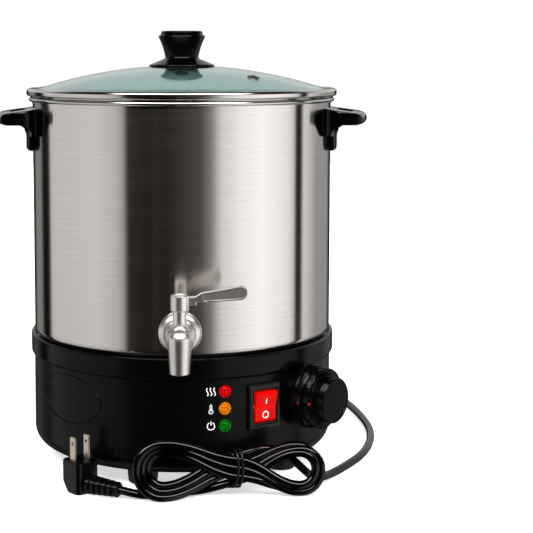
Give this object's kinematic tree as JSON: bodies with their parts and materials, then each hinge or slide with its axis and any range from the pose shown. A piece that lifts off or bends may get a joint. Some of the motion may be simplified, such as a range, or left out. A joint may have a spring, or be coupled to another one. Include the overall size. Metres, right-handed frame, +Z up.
{
  "type": "candle wax melter",
  "caption": "Electric wax melter: a brushed steel tank on a round black heating base, with a domed glass lid, side handles, a lever tap, a dial, a rocker switch, lamps and a tied mains lead.",
  "frame": {"origin": "on the tank's upright axis, on the surface that the rubber feet stand on", "axes": "+Z up along the tank's axis; -Y is the front, where the tap is; +X is the right-hand side as seen from the front"},
  "size_m": [0.3255, 0.3792, 0.3571],
  "materials": {
    "base_black": "semi-gloss moulded",
    "collar_black": "semi-gloss moulded",
    "cover_black": "matt moulded",
    "rubber_black": "matt",
    "zinc_screw": "zinc plated",
    "tank_steel": "brushed round the tank",
    "rim_steel": "polished band",
    "silicone_red": "matt silicone",
    "plate_aluminium": "as rolled",
    "element_steel": "heat-tinted sheath",
    "shield_steel": "galvanised",
    "control_body": "matt moulded",
    "sensor_copper": "drawn copper",
    "knob_black": "satin moulded",
    "dial_black": "satin moulded",
    "mark_red": "printed dot",
    "switch_black": "gloss moulded",
    "rocker_red": "translucent gloss",
    "lamp_red": "translucent lens",
    "lamp_amber": "translucent lens",
    "lamp_green": "translucent lens",
    "tap_chrome": "polished plate",
    "ball_steel": "polished",
    "lid_glass": "clear, faint green",
    "handle_black": "satin moulded",
    "cord_black": "gloss flexible PVC",
    "plug_black": "semi-gloss moulded",
    "blade_nickel": "nickel-plated brass",
    "tie_black": "coated wire",
    "terminal_brass": "tinned brass"
  },
  "bodies": {
    "base": {"base_housing": "base_black", "collar_ring": "collar_black", "bottom_cover": "cover_black", "rubber_feet": "rubber_black", "foot_screws": "zinc_screw", "cover_screws": "zinc_screw", "tank": "tank_steel", "tank_gasket": "silicone_red", "heat_plate": "plate_aluminium", "heating_element": "element_steel", "heat_shield": "shield_steel", "tank_studs": "zinc_screw", "stud_nuts": "zinc_screw", "thermal_cutout": "control_body", "thermostat_bulb": "sensor_copper", "thermostat_body": "control_body", "thermostat_nut": "zinc_screw", "dial_bezel": "dial_black", "index_mark": "mark_red", "switch_body": "switch_black", "switch_terminals": "terminal_brass", "lamp_holders": "control_body", "lamp_red": "lamp_red", "lamp_amber": "lamp_amber", "lamp_green": "lamp_green", "terminal_block": "control_body", "tap_body": "tap_chrome", "tap_flange": "tap_chrome", "tap_seals": "silicone_red", "tap_nut": "tap_chrome", "handle_left": "handle_black", "handle_right": "handle_black", "handle_screws": "zinc_screw", "cord_gland": "plug_black", "cord_lead": "cord_black", "cord_hank": "cord_black", "cord_tail": "cord_black", "cord_tie": "tie_black", "plug_body": "plug_black", "plug_blades": "blade_nickel", "plug_relief": "plug_black"},
    "lid": {"lid_glass": "lid_glass", "lid_rim": "rim_steel", "lid_vent": "rim_steel", "lid_knob": "knob_black", "lid_knob_washer": "zinc_screw", "lid_knob_screw": "zinc_screw"},
    "tap_handle": {"tap_lever": "tap_chrome", "tap_stem": "ball_steel", "tap_ball": "ball_steel", "tap_cap_screw": "tap_chrome"},
    "rocker": {"switch_rocker": "rocker_red"},
    "dial": {"dial_knob": "dial_black", "thermostat_shaft": "zinc_screw", "dial_marker": "mark_red"}
  },
  "joints": [
    {"name": "lid_lift", "type": "slide", "parent": "base", "child": "lid", "axis": [0, 0, 1], "range_m": [0, 0.15]},
    {"name": "tap_turn", "type": "hinge", "parent": "base", "child": "tap_handle", "pos_m": [-0.001, -0.157, 0.15], "axis": [0, 0, 1], "range_deg": [-90, 0]},
    {"name": "rocker_tilt", "type": "hinge", "parent": "base", "child": "rocker", "pos_m": [0.06425, -0.10908, 0.0642], "axis": [0.8616, 0.5075, 0], "range_deg": [-14, 0]},
    {"name": "dial_turn", "type": "hinge", "parent": "base", "child": "dial", "pos_m": [0.11009, -0.09436, 0.0665], "axis": [0.7593, -0.6508, 0], "range_deg": [-270, 0]}
  ]
}
